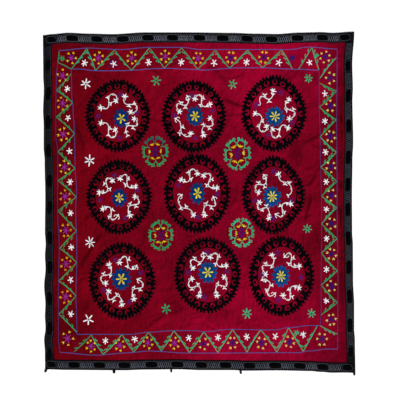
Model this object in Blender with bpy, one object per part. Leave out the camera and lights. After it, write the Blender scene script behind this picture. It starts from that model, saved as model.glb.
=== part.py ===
# Suzani: a large embroidered cotton textile with a black border, lying face up and flat.
# Metres, +X to the right, +Y to the top edge, +Z up. The origin lies on the surface under
# the cloth, below the middle of the whole thing with its loops.

import bpy
import numpy as np

CLOTH_THICKNESS = 0.0016      # cotton ground with the embroidery worked through it
BAND_THICKNESS = 0.0014       # black border band, laid on the cloth's margin
EDGING_WIDTH = 0.007          # narrow black edging round the outside
EDGING_HEIGHT = 0.0042
BAND_END_WIDTH = 0.064        # outer edge to the band's inner edge, at top and bottom
BAND_SIDE_WIDTH = 0.055       # the same, at the left and right
LOOP_HEIGHT = 0.0050
GAP = 0.0003                  # between pieces that touch
CELLS_ACROSS = 50             # facets between the bands, across and along
CELLS_ALONG = 54

# The outline as it lies, a row for each wave of an edge: distance along, then the edge.
LEFT_EDGE = (     # y, x
    (1.085, -1.007), (0.822, -1.005), (0.744, -1.001), (0.590, -1.006), (0.512, -1.002),
    (0.357, -1.002), (0.280, -0.996), (0.048, -0.992), (-0.184, -0.994), (-0.262, -0.989),
    (-0.339, -0.994), (-0.417, -0.990), (-0.532, -0.999), (-0.649, -0.991), (-0.727, -0.994),
    (-0.804, -0.990), (-0.881, -0.999), (-0.959, -0.994), (-1.068, -0.993),
)
RIGHT_EDGE = (    # y, x
    (1.1085, 1.000), (0.899, 0.987), (0.744, 0.991), (0.667, 0.988), (0.396, 0.993),
    (0.280, 0.988), (0.048, 0.985), (-0.184, 0.986), (-0.262, 0.991), (-0.494, 0.992),
    (-0.649, 0.999), (-0.804, 0.999), (-0.881, 1.004), (-1.091, 1.007),
)
TOP_EDGE = (      # x, y
    (-1.007, 1.085), (-0.950, 1.092), (-0.844, 1.101), (-0.702, 1.095), (-0.560, 1.092),
    (-0.347, 1.103), (-0.063, 1.103), (0.221, 1.100), (0.362, 1.095), (0.504, 1.093),
    (0.646, 1.102), (0.788, 1.105), (0.859, 1.101), (1.000, 1.1085),
)
BOTTOM_EDGE = (   # x, y
    (-0.993, -1.068), (-0.844, -1.072), (-0.489, -1.074), (-0.347, -1.070), (-0.134, -1.068),
    (0.008, -1.073), (0.221, -1.073), (0.292, -1.077), (0.504, -1.075), (0.717, -1.079),
    (0.788, -1.085), (0.859, -1.090), (0.930, -1.089), (1.007, -1.091),
)

# The main folds, each a soft ridge from one end to the other.
FOLDS = (         # name, x and y of one end, x and y of the other end, half width, height
    ("top_left_slant", -0.333, 0.888, -0.246, 0.830, 0.060, 0.004),
    ("top_middle_slant", 0.086, 0.862, 0.183, 0.750, 0.060, 0.005),
    ("top_crease", 0.158, 0.677, 0.295, 0.620, 0.060, 0.007),
    ("left_margin", -0.898, 0.443, -0.859, 0.166, 0.065, 0.006),
    ("left_ridge", -0.756, 0.488, -0.704, 0.346, 0.065, 0.008),
    ("lower_left_slant", -0.795, -0.473, -0.640, -0.247, 0.065, 0.009),
    ("low_left_corner", -0.769, -0.737, -0.653, -0.621, 0.060, 0.005),
    ("bottom_crease", -0.333, -0.789, -0.075, -0.679, 0.065, 0.008),
    ("centre_crease", 0.070, 0.172, 0.070, -0.221, 0.060, 0.004),
    ("lower_middle", 0.276, -0.344, 0.328, -0.441, 0.060, 0.006),
    ("right_upright", 0.650, 0.456, 0.644, 0.198, 0.060, 0.006),
    ("right_upper_slant", 0.676, 0.379, 0.811, 0.443, 0.060, 0.006),
    ("right_lower_slant", 0.666, 0.104, 0.763, 0.179, 0.060, 0.006),
    ("right_low_upright", 0.682, -0.118, 0.715, 0.043, 0.060, 0.005),
)

# The hanging loops on the bottom edge, each a cord doubled flat with its legs together.
LOOPS = (         # name, x of the root, width, length, sideways lean for each metre of length
    ("loop_left_corner", -0.985, 0.016, 0.020, -0.5),
    ("loop_left", -0.549, 0.018, 0.021, 0.0),
    ("loop_middle_left", -0.180, 0.012, 0.020, 0.0),
    ("loop_middle_right", 0.267, 0.014, 0.022, 0.1),
    ("loop_right_corner", 1.000, 0.0135, 0.0172, 0.0),
)
LOOP_TIP_STEPS = 8            # facets round a loop's end
LOOP_BEVEL = 0.0012

# The edging's section: how far in from the outside, and how high, as shares of its size.
EDGING_SECTION = ((0.0, 0.0), (0.0, 0.65), (0.3, 1.0), (0.75, 1.0), (1.0, 0.8), (1.0, 0.0))

COLOURS = {       # linear colour and roughness of each finish
    "crimson cotton": ((0.165, 0.004, 0.014), 0.85),
    "black band": ((0.010, 0.010, 0.012), 0.90),
    "black edging": ((0.008, 0.008, 0.009), 0.85),
    "black loop cord": ((0.009, 0.009, 0.010), 0.85),
}


def clear_scene():
    for old in list(bpy.data.objects):
        bpy.data.objects.remove(old, do_unlink=True)


def eased(rows, places):
    # Reads a table between its rows, level at each row, so that the rows are the waves.
    table = np.array(sorted(rows))
    along, values = table[:, 0], table[:, 1]
    places = np.clip(places, along[0], along[-1])
    row = np.clip(np.searchsorted(along, places) - 1, 0, len(along) - 2)
    part = (places - along[row]) / (along[row + 1] - along[row])
    part = part * part * (3 - 2 * part)
    return values[row] * (1 - part) + values[row + 1] * part


def corner(end_row, side_row):
    # A corner, where an end edge's last row (x, y) meets a side edge's (y, x).
    return np.array([end_row[0], side_row[0]])


BOTTOM_LEFT = corner(BOTTOM_EDGE[0], LEFT_EDGE[-1])
BOTTOM_RIGHT = corner(BOTTOM_EDGE[-1], RIGHT_EDGE[-1])
TOP_LEFT = corner(TOP_EDGE[0], LEFT_EDGE[0])
TOP_RIGHT = corner(TOP_EDGE[-1], RIGHT_EDGE[0])
WIDTH = BOTTOM_RIGHT[0] - BOTTOM_LEFT[0]
LENGTH = TOP_LEFT[1] - BOTTOM_LEFT[1]


def plan(u, v):
    # The place on the cloth at share u across and v along, which meets all four edges.
    u, v = np.broadcast_arrays(np.asarray(u, float), np.asarray(v, float))
    low_x = BOTTOM_LEFT[0] + (BOTTOM_RIGHT[0] - BOTTOM_LEFT[0]) * u
    top_x = TOP_LEFT[0] + (TOP_RIGHT[0] - TOP_LEFT[0]) * u
    left_y = BOTTOM_LEFT[1] + (TOP_LEFT[1] - BOTTOM_LEFT[1]) * v
    right_y = BOTTOM_RIGHT[1] + (TOP_RIGHT[1] - BOTTOM_RIGHT[1]) * v
    low = np.stack([low_x, eased(BOTTOM_EDGE, low_x)], -1)
    top = np.stack([top_x, eased(TOP_EDGE, top_x)], -1)
    left = np.stack([eased(LEFT_EDGE, left_y), left_y], -1)
    right = np.stack([eased(RIGHT_EDGE, right_y), right_y], -1)
    u, v = u[..., None], v[..., None]
    corners = ((1 - u) * (1 - v) * BOTTOM_LEFT + u * (1 - v) * BOTTOM_RIGHT
               + (1 - u) * v * TOP_LEFT + u * v * TOP_RIGHT)
    return (1 - v) * low + v * top + (1 - u) * left + u * right - corners


def fold_height(points):
    # How far the folds lift the cloth's underside: nothing past each fold's half width.
    height = np.zeros(points.shape[:-1])
    for _, x0, y0, x1, y1, half_width, rise in FOLDS:
        start, run = np.array([x0, y0]), np.array([x1 - x0, y1 - y0])
        along = np.clip(((points - start) @ run) / (run @ run), 0, 1)
        off = np.linalg.norm(points - start - along[..., None] * run, axis=-1) / half_width
        height += rise * np.clip(1 - off ** 2, 0, None) ** 2
    return height


def grid_lines(band_width, size, cells):
    # Shares across the cloth: its cut edge, mid band, band's inner edge, then even cells.
    cut = (EDGING_WIDTH + GAP) / size
    inner = band_width / size
    first = [cut, (cut + inner) / 2]
    middle = np.linspace(inner, 1 - inner, cells + 1)
    return np.array(first + list(middle) + [1 - share for share in reversed(first)])


U_LINES = grid_lines(BAND_SIDE_WIDTH, WIDTH, CELLS_ACROSS)
V_LINES = grid_lines(BAND_END_WIDTH, LENGTH, CELLS_ALONG)
BAND_LINES = 3                # grid lines that a band covers, its two edges included


def make_material(name, finish):
    colour, roughness = COLOURS[finish]
    material = bpy.data.materials.new(name + " " + finish)
    material.use_nodes = True
    shader = material.node_tree.nodes["Principled BSDF"]
    shader.inputs["Base Color"].default_value = (*colour, 1)
    shader.inputs["Roughness"].default_value = roughness
    shader.inputs["Metallic"].default_value = 0
    material.diffuse_color = (*colour, 1)
    return material


def make_piece(name, points, faces, finish):
    mesh = bpy.data.meshes.new(name)
    mesh.from_pydata([tuple(p) for p in points], [], faces)
    mesh.materials.append(make_material(name, finish))
    piece = bpy.data.objects.new(name, mesh)
    bpy.context.scene.collection.objects.link(piece)
    return piece


def make_sheet(name, places, underside, thickness, finish):
    # A closed sheet over a grid of places, with its underside at the given heights.
    rows, columns = underside.shape
    low = np.dstack([places, underside]).reshape(-1, 3)
    high = low + (0, 0, thickness)
    count = rows * columns
    cell = np.arange(count).reshape(rows, columns)
    a, b = cell[:-1, :-1].ravel(), cell[1:, :-1].ravel()
    c, d = cell[1:, 1:].ravel(), cell[:-1, 1:].ravel()
    top = np.concatenate([np.stack([a, b, c], 1), np.stack([a, c, d], 1)]) + count
    under = np.concatenate([np.stack([a, c, b], 1), np.stack([a, d, c], 1)])
    rim = np.concatenate([cell[:, 0], cell[-1, 1:], cell[-2::-1, -1], cell[0, -2:0:-1]])
    after = np.roll(rim, -1)
    wall = np.stack([rim, after, after + count, rim + count], 1)
    faces = top.tolist() + under.tolist() + wall.tolist()
    return make_piece(name, np.concatenate([low, high]), faces, finish)


def make_edging(name, outer, inner, heights, finish):
    # The edging's section carried along an edge, from its outer line to its inner line.
    points = []
    for (x0, y0), (x1, y1), lift in zip(outer, inner, heights):
        for share, rise in EDGING_SECTION:
            x = x0 + (x1 - x0) * share
            y = y0 + (y1 - y0) * share
            points.append((x, y, lift + EDGING_HEIGHT * rise))
    sides, stations = len(EDGING_SECTION), len(heights)
    faces = [tuple(range(sides)), tuple(reversed(range((stations - 1) * sides, stations * sides)))]
    for station in range(stations - 1):
        for side in range(sides):
            a = station * sides + side
            b = station * sides + (side + 1) % sides
            faces.append((a, a + sides, b + sides, b))
    return make_piece(name, points, faces, finish)


def make_ground():
    places = plan(U_LINES[:, None], V_LINES[None, :])
    lifts = fold_height(places)
    make_sheet("ground_cloth", places, lifts, CLOTH_THICKNESS, "crimson cotton")
    return places, lifts


def make_bands(places, lifts):
    # The top and bottom bands run the full width, and the side bands fit between them.
    under = lifts + CLOTH_THICKNESS + GAP
    n = BAND_LINES
    make_sheet("border_bottom", places[:, :n], under[:, :n], BAND_THICKNESS, "black band")
    make_sheet("border_top", places[:, -n:], under[:, -n:], BAND_THICKNESS, "black band")
    side_places, side_under = places[:, n - 1:1 - n].copy(), under[:, n - 1:1 - n].copy()
    cell_length = (V_LINES[n] - V_LINES[n - 1]) * LENGTH
    step = GAP / cell_length
    for end, beside in ((0, 1), (-1, -2)):
        side_places[:, end] += (side_places[:, beside] - side_places[:, end]) * step
        side_under[:, end] += (side_under[:, beside] - side_under[:, end]) * step
    make_sheet("border_left", side_places[:n], side_under[:n], BAND_THICKNESS, "black band")
    make_sheet("border_right", side_places[-n:], side_under[-n:], BAND_THICKNESS, "black band")


def make_edgings(lifts):
    # The end edgings reach both corners, and the side edgings fit between them. Each runs
    # anticlockwise round the cloth, so that its faces point outwards.
    across = np.concatenate([[0], U_LINES, [1]])
    end_in, side_in = EDGING_WIDTH / LENGTH, EDGING_WIDTH / WIDTH
    low, high = (np.concatenate([lifts[:1, row], lifts[:, row], lifts[-1:, row]])
                 for row in (0, -1))
    runs = (
        ("edging_bottom", plan(across, 0), plan(across, end_in), low),
        ("edging_right", plan(1, V_LINES), plan(1 - side_in, V_LINES), lifts[-1]),
        ("edging_top", plan(across, 1)[::-1], plan(across, 1 - end_in)[::-1], high[::-1]),
        ("edging_left", plan(0, V_LINES)[::-1], plan(side_in, V_LINES)[::-1], lifts[0, ::-1]),
    )
    for name, outer, inner, raised in runs:
        make_edging(name, outer, inner, raised, "black edging")
    return plan(across, 0)


def make_loop(name, x, width, length, lean, bottom_line):
    # A flat tab with a round end, its root just clear of the edging's outer face.
    half = width / 2
    root = np.interp((x - half, x, x + half), bottom_line[:, 0], bottom_line[:, 1]).min() - GAP
    shaft = length - half - GAP
    turn = np.linspace(0, np.pi, LOOP_TIP_STEPS + 1)
    side = np.concatenate([[half], half * np.cos(turn), [-half]])
    down = np.concatenate([[0], shaft + half * np.sin(turn), [0]])
    outline = np.stack([x + side + lean * down, root - down], 1)
    count = len(outline)
    low = np.column_stack([outline, np.zeros(count)])
    high = low + (0, 0, LOOP_HEIGHT)
    ring = list(range(count))
    faces = [tuple(ring), tuple(i + count for i in reversed(ring))]
    faces += [(i, i + count, (i + 1) % count + count, (i + 1) % count) for i in ring]
    piece = make_piece(name, np.concatenate([low, high]), faces, "black loop cord")
    bevel = piece.modifiers.new("round edges", "BEVEL")
    bevel.width = LOOP_BEVEL
    bevel.segments = 1
    bevel.limit_method = "ANGLE"
    return piece


clear_scene()
ground_places, ground_lifts = make_ground()
make_bands(ground_places, ground_lifts)
bottom_line = make_edgings(ground_lifts)
for name, x, width, length, lean in LOOPS:
    make_loop(name, x, width, length, lean, bottom_line)
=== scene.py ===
# Looks of a crimson suzani that lies flat and face up: nine embroidered roundels, rosettes and
# stars, a flower and vine border, and a black band with padded ovals and grey stitching.
# Metres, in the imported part's frame. All stitching is laid on the cloth's own folds.

import bpy
import numpy as np
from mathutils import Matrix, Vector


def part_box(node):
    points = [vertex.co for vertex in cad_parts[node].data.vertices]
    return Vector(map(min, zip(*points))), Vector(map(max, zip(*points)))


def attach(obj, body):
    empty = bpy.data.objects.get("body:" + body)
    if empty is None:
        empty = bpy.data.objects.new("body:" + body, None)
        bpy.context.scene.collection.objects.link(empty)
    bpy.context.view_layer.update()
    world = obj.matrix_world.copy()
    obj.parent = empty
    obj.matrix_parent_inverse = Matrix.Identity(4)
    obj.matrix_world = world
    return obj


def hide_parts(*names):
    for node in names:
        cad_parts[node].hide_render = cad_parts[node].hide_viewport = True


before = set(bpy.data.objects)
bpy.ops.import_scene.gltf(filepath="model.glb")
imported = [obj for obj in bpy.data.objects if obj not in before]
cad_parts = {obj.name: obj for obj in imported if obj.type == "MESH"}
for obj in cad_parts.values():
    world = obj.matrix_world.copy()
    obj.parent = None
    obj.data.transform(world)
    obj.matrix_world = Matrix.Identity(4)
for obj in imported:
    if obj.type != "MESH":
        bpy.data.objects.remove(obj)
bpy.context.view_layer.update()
mm = 0.001
turn = 2 * np.pi
draw = np.random.default_rng(23)   # every random choice comes from here, so each run is alike


# Small tools

def metres(values):
    # A table's millimetres, in metres.
    return np.array(values) / 1000


def eased(rows, places):
    # Reads a table of (place, value) rows in mm, level at each row and smooth between them.
    along, values = metres(sorted(rows)).T
    places = np.clip(places, along[0], along[-1])
    row = np.clip(np.searchsorted(along, places) - 1, 0, len(along) - 2)
    part = (places - along[row]) / (along[row + 1] - along[row])
    part = part * part * (3 - 2 * part)
    return values[row] * (1 - part) + values[row + 1] * part


def rounded(points, times=3):
    # Cuts the corners of a chain of points again and again, which leaves a smooth curve.
    points = np.asarray(points, float)
    for _ in range(times):
        before, after = points[:-1], points[1:]
        cut = np.stack([0.75 * before + 0.25 * after, 0.25 * before + 0.75 * after], 1)
        points = np.concatenate([points[:1], cut.reshape(-1, 2), points[-1:]])
    return points


def spaced(points, count):
    # The same chain with its points at equal distances along it.
    run = np.concatenate([[0], np.cumsum(np.linalg.norm(np.diff(points, axis=0), axis=1))])
    places = np.linspace(0, run[-1], count)
    return np.stack([np.interp(places, run, points[:, axis]) for axis in (0, 1)], -1)


def towards(angle):
    # A step of one metre at an angle: its cosine across and its sine along.
    return np.stack([np.cos(angle), np.sin(angle)], -1)


def bearing(step):
    # The angle of a step.
    return np.arctan2(step[1], step[0])


def around(count, start):
    # Directions at even steps round a circle.
    return start + np.arange(count) * turn / count


def raised(flat, high):
    # Flat places with their heights, as points.
    return np.concatenate([flat, np.broadcast_to(high, flat.shape[:-1])[..., None]], -1)


# The cloth's form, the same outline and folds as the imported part

cloth = {
    "thickness": 1.6 * mm,
    "bandThickness": 1.4 * mm,
    "bandEndWidth": 64 * mm,        # from the outer edge, at the top and bottom
    "bandSideWidth": 55 * mm,
    "edgingWidth": 7 * mm,
    "edgingHeight": 4.2 * mm,
    "gap": 0.3 * mm,
    "foldShare": 0.35,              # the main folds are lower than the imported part's coarse ones
    "cellsAcross": 200,
    "cellsAlong": 216,
    "cellsInMargin": 4,             # under each band
}

leftEdge = (       # y, x in mm
    (1085, -1007), (822, -1005), (744, -1001), (590, -1006), (512, -1002), (357, -1002),
    (280, -996), (48, -992), (-184, -994), (-262, -989), (-339, -994), (-417, -990), (-532, -999),
    (-649, -991), (-727, -994), (-804, -990), (-881, -999), (-959, -994), (-1068, -993),
)
rightEdge = (      # y, x
    (1108.5, 1000), (899, 987), (744, 991), (667, 988), (396, 993), (280, 988), (48, 985),
    (-184, 986), (-262, 991), (-494, 992), (-649, 999), (-804, 999), (-881, 1004), (-1091, 1007),
)
topEdge = (        # x, y
    (-1007, 1085), (-950, 1092), (-844, 1101), (-702, 1095), (-560, 1092), (-347, 1103),
    (-63, 1103), (221, 1100), (362, 1095), (504, 1093), (646, 1102), (788, 1105), (859, 1101),
    (1000, 1108.5),
)
bottomEdge = (     # x, y
    (-993, -1068), (-844, -1072), (-489, -1074), (-347, -1070), (-134, -1068), (8, -1073),
    (221, -1073), (292, -1077), (504, -1075), (717, -1079), (788, -1085), (859, -1090),
    (930, -1089), (1007, -1091),
)

mainFolds = (      # x and y of one end, x and y of the other end, half width, height
    (-333, 888, -246, 830, 60, 4),
    (86, 862, 183, 750, 60, 5),
    (158, 677, 295, 620, 60, 7),
    (-898, 443, -859, 166, 65, 6),
    (-756, 488, -704, 346, 65, 8),
    (-795, -473, -640, -247, 65, 9),
    (-769, -737, -653, -621, 60, 5),
    (-333, -789, -75, -679, 65, 8),
    (70, 172, 70, -221, 60, 4),
    (276, -344, 328, -441, 60, 6),
    (650, 456, 644, 198, 60, 6),
    (676, 379, 811, 443, 60, 6),
    (666, 104, 763, 179, 60, 6),
    (682, -118, 715, 43, 60, 5),
)
pleats = (         # x and y of one end, x and y of the other, half width on the dark side and on the lit side, height, and then how much painted shade darkens the colour on the dark side, as a share
    # the lit side, height, and then how much the crease beside it darkens the dye, as a share
    (145, 667, 297, 606, 17, 60, 3.6, 0.6),
    (173, 561, 302, 561, 16, 40, 1.6, 0.3),
    (-337, 535, -221, 520, 16, 45, 2.4, 0.3),
    (76, 875, 192, 737, 22, 60, 2.4, 0.35),
    (-354, 887, -238, 814, 16, 50, 2.2, 0.4),
    (-780, 506, -722, 332, 20, 45, 4.2, 0.42),
    (-797, -471, -616, -181, 18, 40, 3.4, 0.26),
    (-734, -375, -625, -194, 18, 40, 2.0, 0.12),
    (665, 369, 788, 440, 18, 40, 3.2, 0.42),
    (766, 183, 695, 96, 14, 36, 3.6, 0.62),
    (727, 48, 691, -113, 11, 36, 2.6, 0.3),
    (679, 221, 737, 221, 12, 24, 1.8, 0.32),
    (667, 372, 660, 230, 12, 26, 2.0, 0.24),
    (916, 153, 922, 79, 12, 24, 2.6, 0.7),
    (914, -8, 923, -163, 12, 24, 2.6, 0.75),
    (923, 579, 923, 514, 12, 24, 2.4, 0.6),
    (643, 411, 641, 217, 18, 45, 2.4, 0.2),
    (689, -139, 729, 61, 18, 45, 3.0, 0.3),
    (753, -161, 780, -277, 16, 36, 2.8, 0.34),
    (-342, -813, -219, -722, 18, 40, 3.4, 0.3),
    (-250, -731, -57, -683, 18, 40, 2.6, 0.16),
    (-102, -733, 27, -704, 16, 30, 2.6, 0.25),
    (-70, -753, 40, -727, 16, 28, 2.0, 0.15),
    (-788, -744, -646, -602, 16, 28, 2.0, 0.06),
    (-752, -773, -630, -651, 16, 28, 2.0, 0.05),
    (-690, 860, -651, 783, 16, 34, 2.2, 0.2),
    (-609, 845, -564, 774, 16, 34, 1.8, 0.15),
    (927, 862, 927, 88, 16, 26, 2.6, 0.25),
    (927, 24, 934, -815, 16, 26, 2.6, 0.25),
    (-918, 721, -911, 153, 16, 26, 2.4, 0.2),
    (-911, 88, -908, -621, 16, 26, 2.4, 0.2),
)
towardsLight = np.array([0.50, -0.87])     # flat: the key light is low, at the bottom right

lowLeft = metres([bottomEdge[0][0], leftEdge[-1][0]])
lowRight = metres([bottomEdge[-1][0], rightEdge[-1][0]])
topLeft = metres([topEdge[0][0], leftEdge[0][0]])
topRight = metres([topEdge[-1][0], rightEdge[0][0]])
clothWidth = lowRight[0] - lowLeft[0]
clothLength = topLeft[1] - lowLeft[1]


def plan(u, v):
    # The place at share u across and v along: a patch that is blended from its four edges.
    u, v = np.broadcast_arrays(np.asarray(u, float), np.asarray(v, float))
    lowX = lowLeft[0] + (lowRight[0] - lowLeft[0]) * u
    topX = topLeft[0] + (topRight[0] - topLeft[0]) * u
    leftY = lowLeft[1] + (topLeft[1] - lowLeft[1]) * v
    rightY = lowRight[1] + (topRight[1] - lowRight[1]) * v
    low = np.stack([lowX, eased(bottomEdge, lowX)], -1)
    top = np.stack([topX, eased(topEdge, topX)], -1)
    left = np.stack([eased(leftEdge, leftY), leftY], -1)
    right = np.stack([eased(rightEdge, rightY), rightY], -1)
    u, v = u[..., None], v[..., None]
    corners = ((1 - u) * (1 - v) * lowLeft + u * (1 - v) * lowRight
               + (1 - u) * v * topLeft + u * v * topRight)
    return (1 - v) * low + v * top + (1 - u) * left + u * right - corners


def fromLine(points, x0, y0, x1, y1):
    # How far along a line each point is, from 0 to 1, and its offset from the line.
    start, run = np.array([x0, y0]), np.array([x1 - x0, y1 - y0])
    along = np.clip(((points - start) @ run) / (run @ run), 0, 1)
    return along, points - start - along[..., None] * run


def ridges(points):
    # Soft ridges: each is its height times the square of 1 - (distance / half width) squared.
    height = np.zeros(points.shape[:-1])
    for *ends, halfWidth, rise in metres(mainFolds):
        off = np.linalg.norm(fromLine(points, *ends)[1], axis=-1) / halfWidth
        height += rise * np.clip(1 - off ** 2, 0, None) ** 2
    return height


def pleated(points):
    # Pleats, too sharp for the imported part: steep on the side away from the light, gentle on the
    # other, and level at both ends. Gives the height, and the painted shade on the steep sides.
    height, paintedShade = np.zeros(points.shape[:-1]), np.zeros(points.shape[:-1])
    for *ends, steep, gentle, rise, depth in pleats:
        along, offset = fromLine(points, *metres(ends))
        lit = offset @ towardsLight > 0
        off = np.linalg.norm(offset, axis=-1) / (np.where(lit, gentle, steep) * mm)
        fade = 1 - (2 * along - 1) ** 4
        height += rise * mm * fade * np.clip(1 - off ** 2, 0, None) ** 2
        # Painted shade: the steep side, away from the key light, is darkened in the colour.
        paintedShade += depth * fade * np.where(lit, 0, np.clip(1 - ((off - 0.6) / 0.7) ** 2, 0, None))
    return height, paintedShade


def underCloth(points):
    # The height of the cloth's underside: the main folds at their share, and the pleats.
    return cloth["foldShare"] * ridges(points) + pleated(points)[0]


def clothTop(points):
    # The height of its top: the underside's and the cloth's thickness.
    return underCloth(points) + cloth["thickness"]


# Colours and material nodes

def linear(code):
    # An sRGB hex code as linear light, with an alpha of 1.
    parts = np.array([int(code[at:at + 2], 16) for at in (1, 3, 5)]) / 255
    parts = np.where(parts <= 0.04045, parts / 12.92, ((parts + 0.055) / 1.055) ** 2.4)
    return (*parts, 1.0)


def addNode(material, kind, values=None, links=None, **settings):
    # Adds one node with its settings, its fixed inputs and its links. A link comes from a socket,
    # or from a node's first output.
    tree = material.node_tree
    node = tree.nodes.new("ShaderNode" + kind)
    for name, value in settings.items():
        setattr(node, name, value)
    for name, value in (values or {}).items():
        node.inputs[name].default_value = value
    for name, source in (links or {}).items():
        tree.links.new(getattr(source, "outputs", [source])[0], node.inputs[name])
    return node


def newMaterial(name):
    # A material that starts without nodes.
    material = bpy.data.materials.new(name)
    material.use_nodes = True
    material.node_tree.nodes.clear()
    return material


def finishMaterial(material, values, links):
    # The surface shader that a finish ends in, joined to the output.
    shader = addNode(material, "BsdfPrincipled", values, links)
    addNode(material, "OutputMaterial", links={"Surface": shader})
    return material


def colourRamp(material, factor, stops):
    # A ramp of (place, hex code) stops, driven by a factor.
    node = addNode(material, "ValToRGB", links={"Fac": factor})
    ramp = node.color_ramp
    while len(ramp.elements) < len(stops):
        ramp.elements.new(0.5)
    for element, (place, code) in zip(ramp.elements, stops):
        element.position = place
        element.color = linear(code)
    return node.outputs["Color"]


def bandScale(period):
    return 0.31416 / period        # a wave texture's bands are pi / 10 apart at scale 1


# Meshes

def addObject(name, data):
    # A mesh, camera or light as an object in the scene.
    thing = bpy.data.objects.new(name, data)
    bpy.context.scene.collection.objects.link(thing)
    return thing


def fillMesh(name, points, faces, material, layers=None, uv=None):
    # One smooth piece, with values on its points and a flat map for its stitches where given.
    mesh = bpy.data.meshes.new(name)
    mesh.from_pydata(np.asarray(points, float).tolist(), [], faces)
    mesh.materials.append(material)
    mesh.polygons.foreach_set("use_smooth", np.ones(len(mesh.polygons), bool))
    for layer, values in (layers or {}).items():
        attribute = mesh.attributes.new(layer, "FLOAT", "POINT")
        attribute.data.foreach_set("value", np.asarray(values, np.float32))
    if uv is not None:
        corners = np.empty(len(mesh.loops), np.int32)
        mesh.loops.foreach_get("vertex_index", corners)
        mesh.uv_layers.new(name="stitches").data.foreach_set(
            "uv", np.asarray(uv, np.float32)[corners].ravel())
    mesh.update()
    piece = addObject(name, mesh)
    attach(piece, "root")
    return piece


def closedSheet(name, places, under, thickness, material, layers=None):
    # A grid of places as a closed sheet: its underside at the given heights, then its top.
    low, high = raised(places, under), raised(places, under + thickness)
    count = under.size
    cell = np.arange(count).reshape(under.shape)
    a, b = cell[:-1, :-1].ravel(), cell[1:, :-1].ravel()
    c, d = cell[1:, 1:].ravel(), cell[:-1, 1:].ravel()
    top = np.stack([a, b, c, d], 1) + count
    bottom = np.stack([a, d, c, b], 1)
    rim = np.concatenate([cell[:, 0], cell[-1, 1:], cell[-2::-1, -1], cell[0, -2:0:-1]])
    after = np.roll(rim, -1)
    wall = np.stack([rim, after, after + count, rim + count], 1)
    faces = np.concatenate([top, bottom, wall]).tolist()
    layers = {layer: np.tile(values.ravel(), 2) for layer, values in (layers or {}).items()}
    points = np.stack([low, high]).reshape(-1, 3)
    return fillMesh(name, points, faces, material, layers)


# Stitching. A skein gathers the ribbons and knots of one colour, and becomes one mesh.

stitch = {
    "sink": 0.7 * mm,               # how far a ribbon's edges go into the cloth below it
    "section": ((0, -1), (0.16, 0.72), (0.5, 1.0), (0.84, 0.72), (1, -1)),   # share across, rise
    "knot": ((1.0, -1.0), (0.86, 0.7), (0.5, 1.0)),                          # share out, rise
    "leastLift": 0.12,              # at less than this share of its width a ribbon gets no lower
    "liftPower": 0.6,
    "hookPoints": 9,
    "hookTighten": 0.35,            # share of the radius that a curl loses on its way
    "hookTaper": 0.45,              # share of the width that it loses
    "hookKnot": 0.52,               # its knot's radius, as a share of its width
}


def newSkein():
    # Empty lists for the bodies of one colour, and the count of their points.
    return {"points": [], "faces": [], "uv": [], "tone": [], "shade": [], "count": 0}


def keep(skein, points, shade, uv=None):
    # Adds closed bodies, each made of rings of points with a face across both ends. The points
    # hold the height above the cloth. Each body has a tone of its own.
    shape = points.shape[:3]
    grid = skein["count"] + np.arange(np.prod(shape)).reshape(shape)
    beside = np.roll(grid, -1, axis=2)
    quads = np.stack([grid[:, :-1], beside[:, :-1], beside[:, 1:], grid[:, 1:]], -1)
    skein["faces"] += quads.reshape(-1, 4).tolist()
    skein["faces"] += np.concatenate([grid[:, 0, ::-1], grid[:, -1]]).tolist()
    skein["points"].append(points.reshape(-1, 3))
    skein["uv"].append((points[..., :2] if uv is None else uv).reshape(-1, 2))
    for layer, values in (("tone", draw.uniform(0, 1, len(points))), ("shade", shade)):
        values = np.broadcast_to(np.reshape(values, (-1, 1, 1)), shape)
        skein[layer].append(values.ravel())
    skein["count"] += grid.size


def sewBetween(skein, left, right, rise, shade=0.5, level=0.0):
    # Ribbons between two edge lines: a domed section is carried along, its edges sunk in the
    # cloth. The stitches run on along the ribbon, from a start of its own.
    across, up = np.array(stitch["section"]).T
    width = np.linalg.norm(left - right, axis=-1)
    full = width.max(axis=1, keepdims=True) + 1e-9
    lift = rise * np.clip(width / full, stitch["leastLift"], 1) ** stitch["liftPower"]
    flat = left[:, :, None] + (right - left)[:, :, None] * across[:, None]
    high = np.where(up < 0, -stitch["sink"], lift[..., None] * up) + level
    steps = np.linalg.norm(np.diff((left + right) / 2, axis=1), axis=-1)
    run = np.pad(np.cumsum(steps, axis=1), ((0, 0), (1, 0)))
    run = run + draw.uniform(0, 1, (len(left), 1))
    uv = np.stack(np.broadcast_arrays(run[..., None], width[..., None] * (across - 0.5)), -1)
    keep(skein, raised(flat, high), shade, uv)


def sewLine(skein, lines, widths, rise, shade=0.5, level=0.0):
    # Ribbons along centre lines, half their width to each side.
    lines = np.asarray(lines, float)
    way = np.gradient(lines, axis=1)
    way /= np.linalg.norm(way, axis=-1, keepdims=True) + 1e-12
    half = np.broadcast_to(widths, lines.shape[:2])[..., None] / 2
    side = np.stack([-way[..., 1], way[..., 0]], -1)
    sewBetween(skein, lines + side * half, lines - side * half, rise, shade, level)


def sewKnots(skein, centres, radii, rise, shade=0.5, sides=10):
    # Round padded knots: rings of points from a sunk rim up to a flat crown.
    reach, up = np.array(stitch["knot"]).T
    centres = np.atleast_2d(centres)
    size = np.broadcast_to(radii, len(centres))[:, None, None, None]
    flat = centres[:, None, None] + size * reach[:, None, None] * towards(around(sides, 0))
    high = np.where(up < 0, -stitch["sink"], up * rise)
    keep(skein, raised(flat, high[:, None]), shade)


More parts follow.
